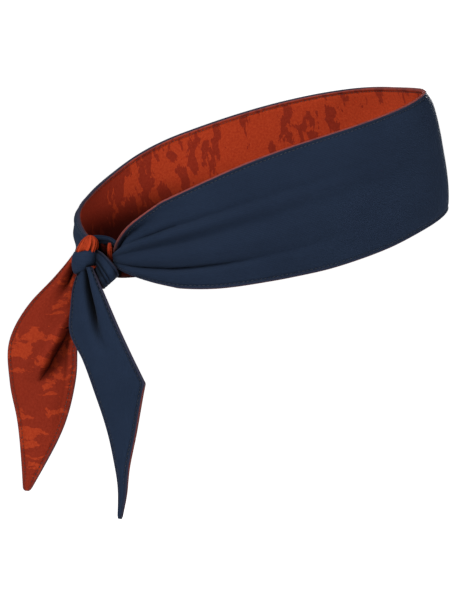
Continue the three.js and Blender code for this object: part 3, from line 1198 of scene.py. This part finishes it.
def right_drape(along, across):
    """Navy tail: one deep pleat out of the knot, opening into a gently curved blade."""
    crown = 0.0016 * (1 - across**2) * smoothstep(along, 0.0, 0.05)
    wave = 0.0015 * np.sin(along / 0.024) * smoothstep(along, 0.02, 0.07)
    return crown + wave + neck_relief(RIGHT_TAIL, along, across)


def diagonal_fold(along, across):
    """A crisp fold across the printed tail, with a hollow beside it."""
    start_depth, start_place = RIDGE_START
    end_depth, end_place = RIDGE_END
    slope = (end_place - start_place) / (end_depth - start_depth)
    past = across - (start_place + slope * (along - start_depth))
    flank = smoothstep(past, -0.60, 0) * (1 - smoothstep(past, 0, RIDGE_CREST))
    hollow = smoothstep(past, 0, RIDGE_CREST) * (1 - smoothstep(past, 0.14, 0.80))
    life = smoothstep(along, 0.022, 0.036) * (1 - smoothstep(along, 0.052, 0.066))
    return (RIDGE_HEIGHT * flank - RIDGE_HOLLOW * hollow) * life


def left_drape(along, across):
    """Printed tail: the diagonal fold, and the inner edge rolled forward below it."""
    crown = 0.0010 * (1 - across**2)
    inner_roll = smoothstep(along, 0.030, 0.050) * (1 - smoothstep(along, 0.080, 0.100))
    rolled = 0.0024 * bump(across, 0.84, 0.13) * inner_roll
    wave = 0.0012 * np.sin(along / 0.020 + 0.6) * smoothstep(along, 0.06, 0.09)
    relief = diagonal_fold(along, across) + neck_relief(LEFT_TAIL, along, across)
    return crown + rolled + wave + relief


def make_tail_half(side, half, surface, stations, shell_side, turn):
    """The two layers of half a tail and its topstitching. Turn is the two depths between which the
    seam on the end edge turns over to the other face, if it does."""
    body = f"{side}_tail_{half}"
    start_roll = np.full_like(stations, TAIL_ROLL)
    end_roll = start_roll
    if turn is not None:
        turned = smoothstep(stations, *turn)
        end_roll = TAIL_ROLL + (SEAM_ROLL - TAIL_ROLL) * turned
    shell, lining = layered_strip(
        (f"{body}_cloth", f"{body}_print"), surface, stations,
        shell_side=shell_side, roll=(start_roll, end_roll), spacing=0.0008,
    )
    finish_piece(shell, SHADED_KNOT_NAVY, "shell_fabric", f"{body}_shell")
    finish_piece(lining, TAIL_PRINT, "lining_fabric", f"{body}_lining")
    short = TIP_WITHOUT_STITCHES if half == "lower" else 0
    first, second = [
        stitch_lines(surface, stations, edge, shell_side, short=short) for edge in (-1, 1)
    ]
    rows = {"_a": first, "_b": second} if half == "upper" else {"": first + second}
    seams = []
    for suffix, lines in rows.items():
        seam = topstitching(f"{body}_topstitch{suffix}", lines)
        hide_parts(f"{body}_stitching{suffix}")
        seams.append(seam)
    return (shell, lining, *seams)


def make_tail(side, tail, drape, shell_side, turn=None):
    exit_point = joint_place(f"{side}_tail_swing")
    curl_depth = exit_point[2] - joint_place(f"{side}_tail_curl")[2]
    surface, tip = tail_surface(exit_point, tail, drape)
    split = tail["split"]
    into_tip = TAIL_TIP_ROUND * (1 - np.sin(np.linspace(0.15, 1, 7) * math.pi / 2))
    stations = {
        "upper": np.linspace(-tail["neck"], split, 48),
        "lower": np.concatenate((
            np.linspace(split, tip - TAIL_TIP_ROUND, 100),
            tip - into_tip,
        )),
    }
    bends = {
        "upper": ("band", SWING_BLEND),
        "lower": (f"{side}_tail_upper", (curl_depth - CURL_BLEND, curl_depth + CURL_BLEND)),
    }
    for half, (above, depths) in bends.items():
        for piece in make_tail_half(side, half, surface, stations[half], shell_side, turn):
            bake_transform(piece)


# ---- Stage ----


def make_floor():
    nodes = Nodes("pale_floor")
    seen = nodes.add("ShaderNodeLightPath").outputs["Is Camera Ray"]
    glow = nodes.math("MULTIPLY", seen, FLOOR_GLOW)
    nodes.set_shader(Base_Color=(0.93, 0.93, 0.93, 1), Roughness=0.9)
    nodes.set_shader(Emission_Color=(1, 1, 1, 1), Emission_Strength=glow)
    height = cad_low.z - FLOOR_BELOW_OBJECT
    bpy.ops.mesh.primitive_plane_add(size=FLOOR_SIZE, location=(0, 0, height))
    floor = bpy.context.object
    floor.name = "floor"
    floor.data.materials.append(nodes.material)


def aim(thing, target):
    thing.rotation_mode = "QUATERNION"
    thing.rotation_quaternion = (Vector(target) - thing.location).to_track_quat("-Z", "Y")


def add_area_light(name, azimuth, elevation, watts):
    lamp = bpy.data.lights.new(name, "AREA")
    lamp.shape = "DISK"
    lamp.size = LIGHT_SIZE
    lamp.energy = watts
    light = bpy.data.objects.new(name, lamp)
    bpy.context.scene.collection.objects.link(light)
    middle = (cad_low + cad_high) / 2
    way = view_direction(math.radians(azimuth), math.radians(elevation))
    light.location = middle + LIGHT_DISTANCE * way
    aim(light, middle)


def view_direction(azimuth, elevation):
    return Vector((
        math.sin(azimuth) * math.cos(elevation),
        -math.cos(azimuth) * math.cos(elevation),
        math.sin(elevation),
    ))


def make_world():
    """Soft white surroundings: pure white to the camera, dimmer as a light on the object."""
    world = bpy.data.worlds.new("studio")
    bpy.context.scene.world = world
    world.use_nodes = True
    nodes, links = world.node_tree.nodes, world.node_tree.links
    background = nodes["Background"]
    background.inputs["Color"].default_value = (1, 1, 1, 1)
    seen = nodes.new("ShaderNodeLightPath")
    strength = nodes.new("ShaderNodeMapRange")
    strength.inputs["To Min"].default_value = WORLD_LIGHT
    strength.inputs["To Max"].default_value = WORLD_SEEN
    links.new(seen.outputs["Is Camera Ray"], strength.inputs["Value"])
    links.new(strength.outputs[0], background.inputs["Strength"])


def make_lights():
    for light in LIGHTS:
        add_area_light(*light)


def make_camera():
    camera = bpy.data.objects.new("camera", bpy.data.cameras.new("camera"))
    bpy.context.scene.collection.objects.link(camera)
    camera.data.lens = CAMERA_LENS
    target = Vector(LOOP_CENTRE) + CAMERA_AIM_FROM_LOOP
    camera.location = target + CAMERA_DISTANCE * view_direction(CAMERA_AZIMUTH, CAMERA_ELEVATION)
    aim(camera, target)
    bpy.context.scene.camera = camera


# ---- Assembly ----

make_band()
make_knot()
make_tail("right", RIGHT_TAIL, right_drape, 1, RIGHT_TAIL_TURN)
make_tail("left", LEFT_TAIL, left_drape, -1)
make_floor()
make_world()
make_lights()
make_camera()
bpy.context.scene.view_settings.view_transform = "Standard"
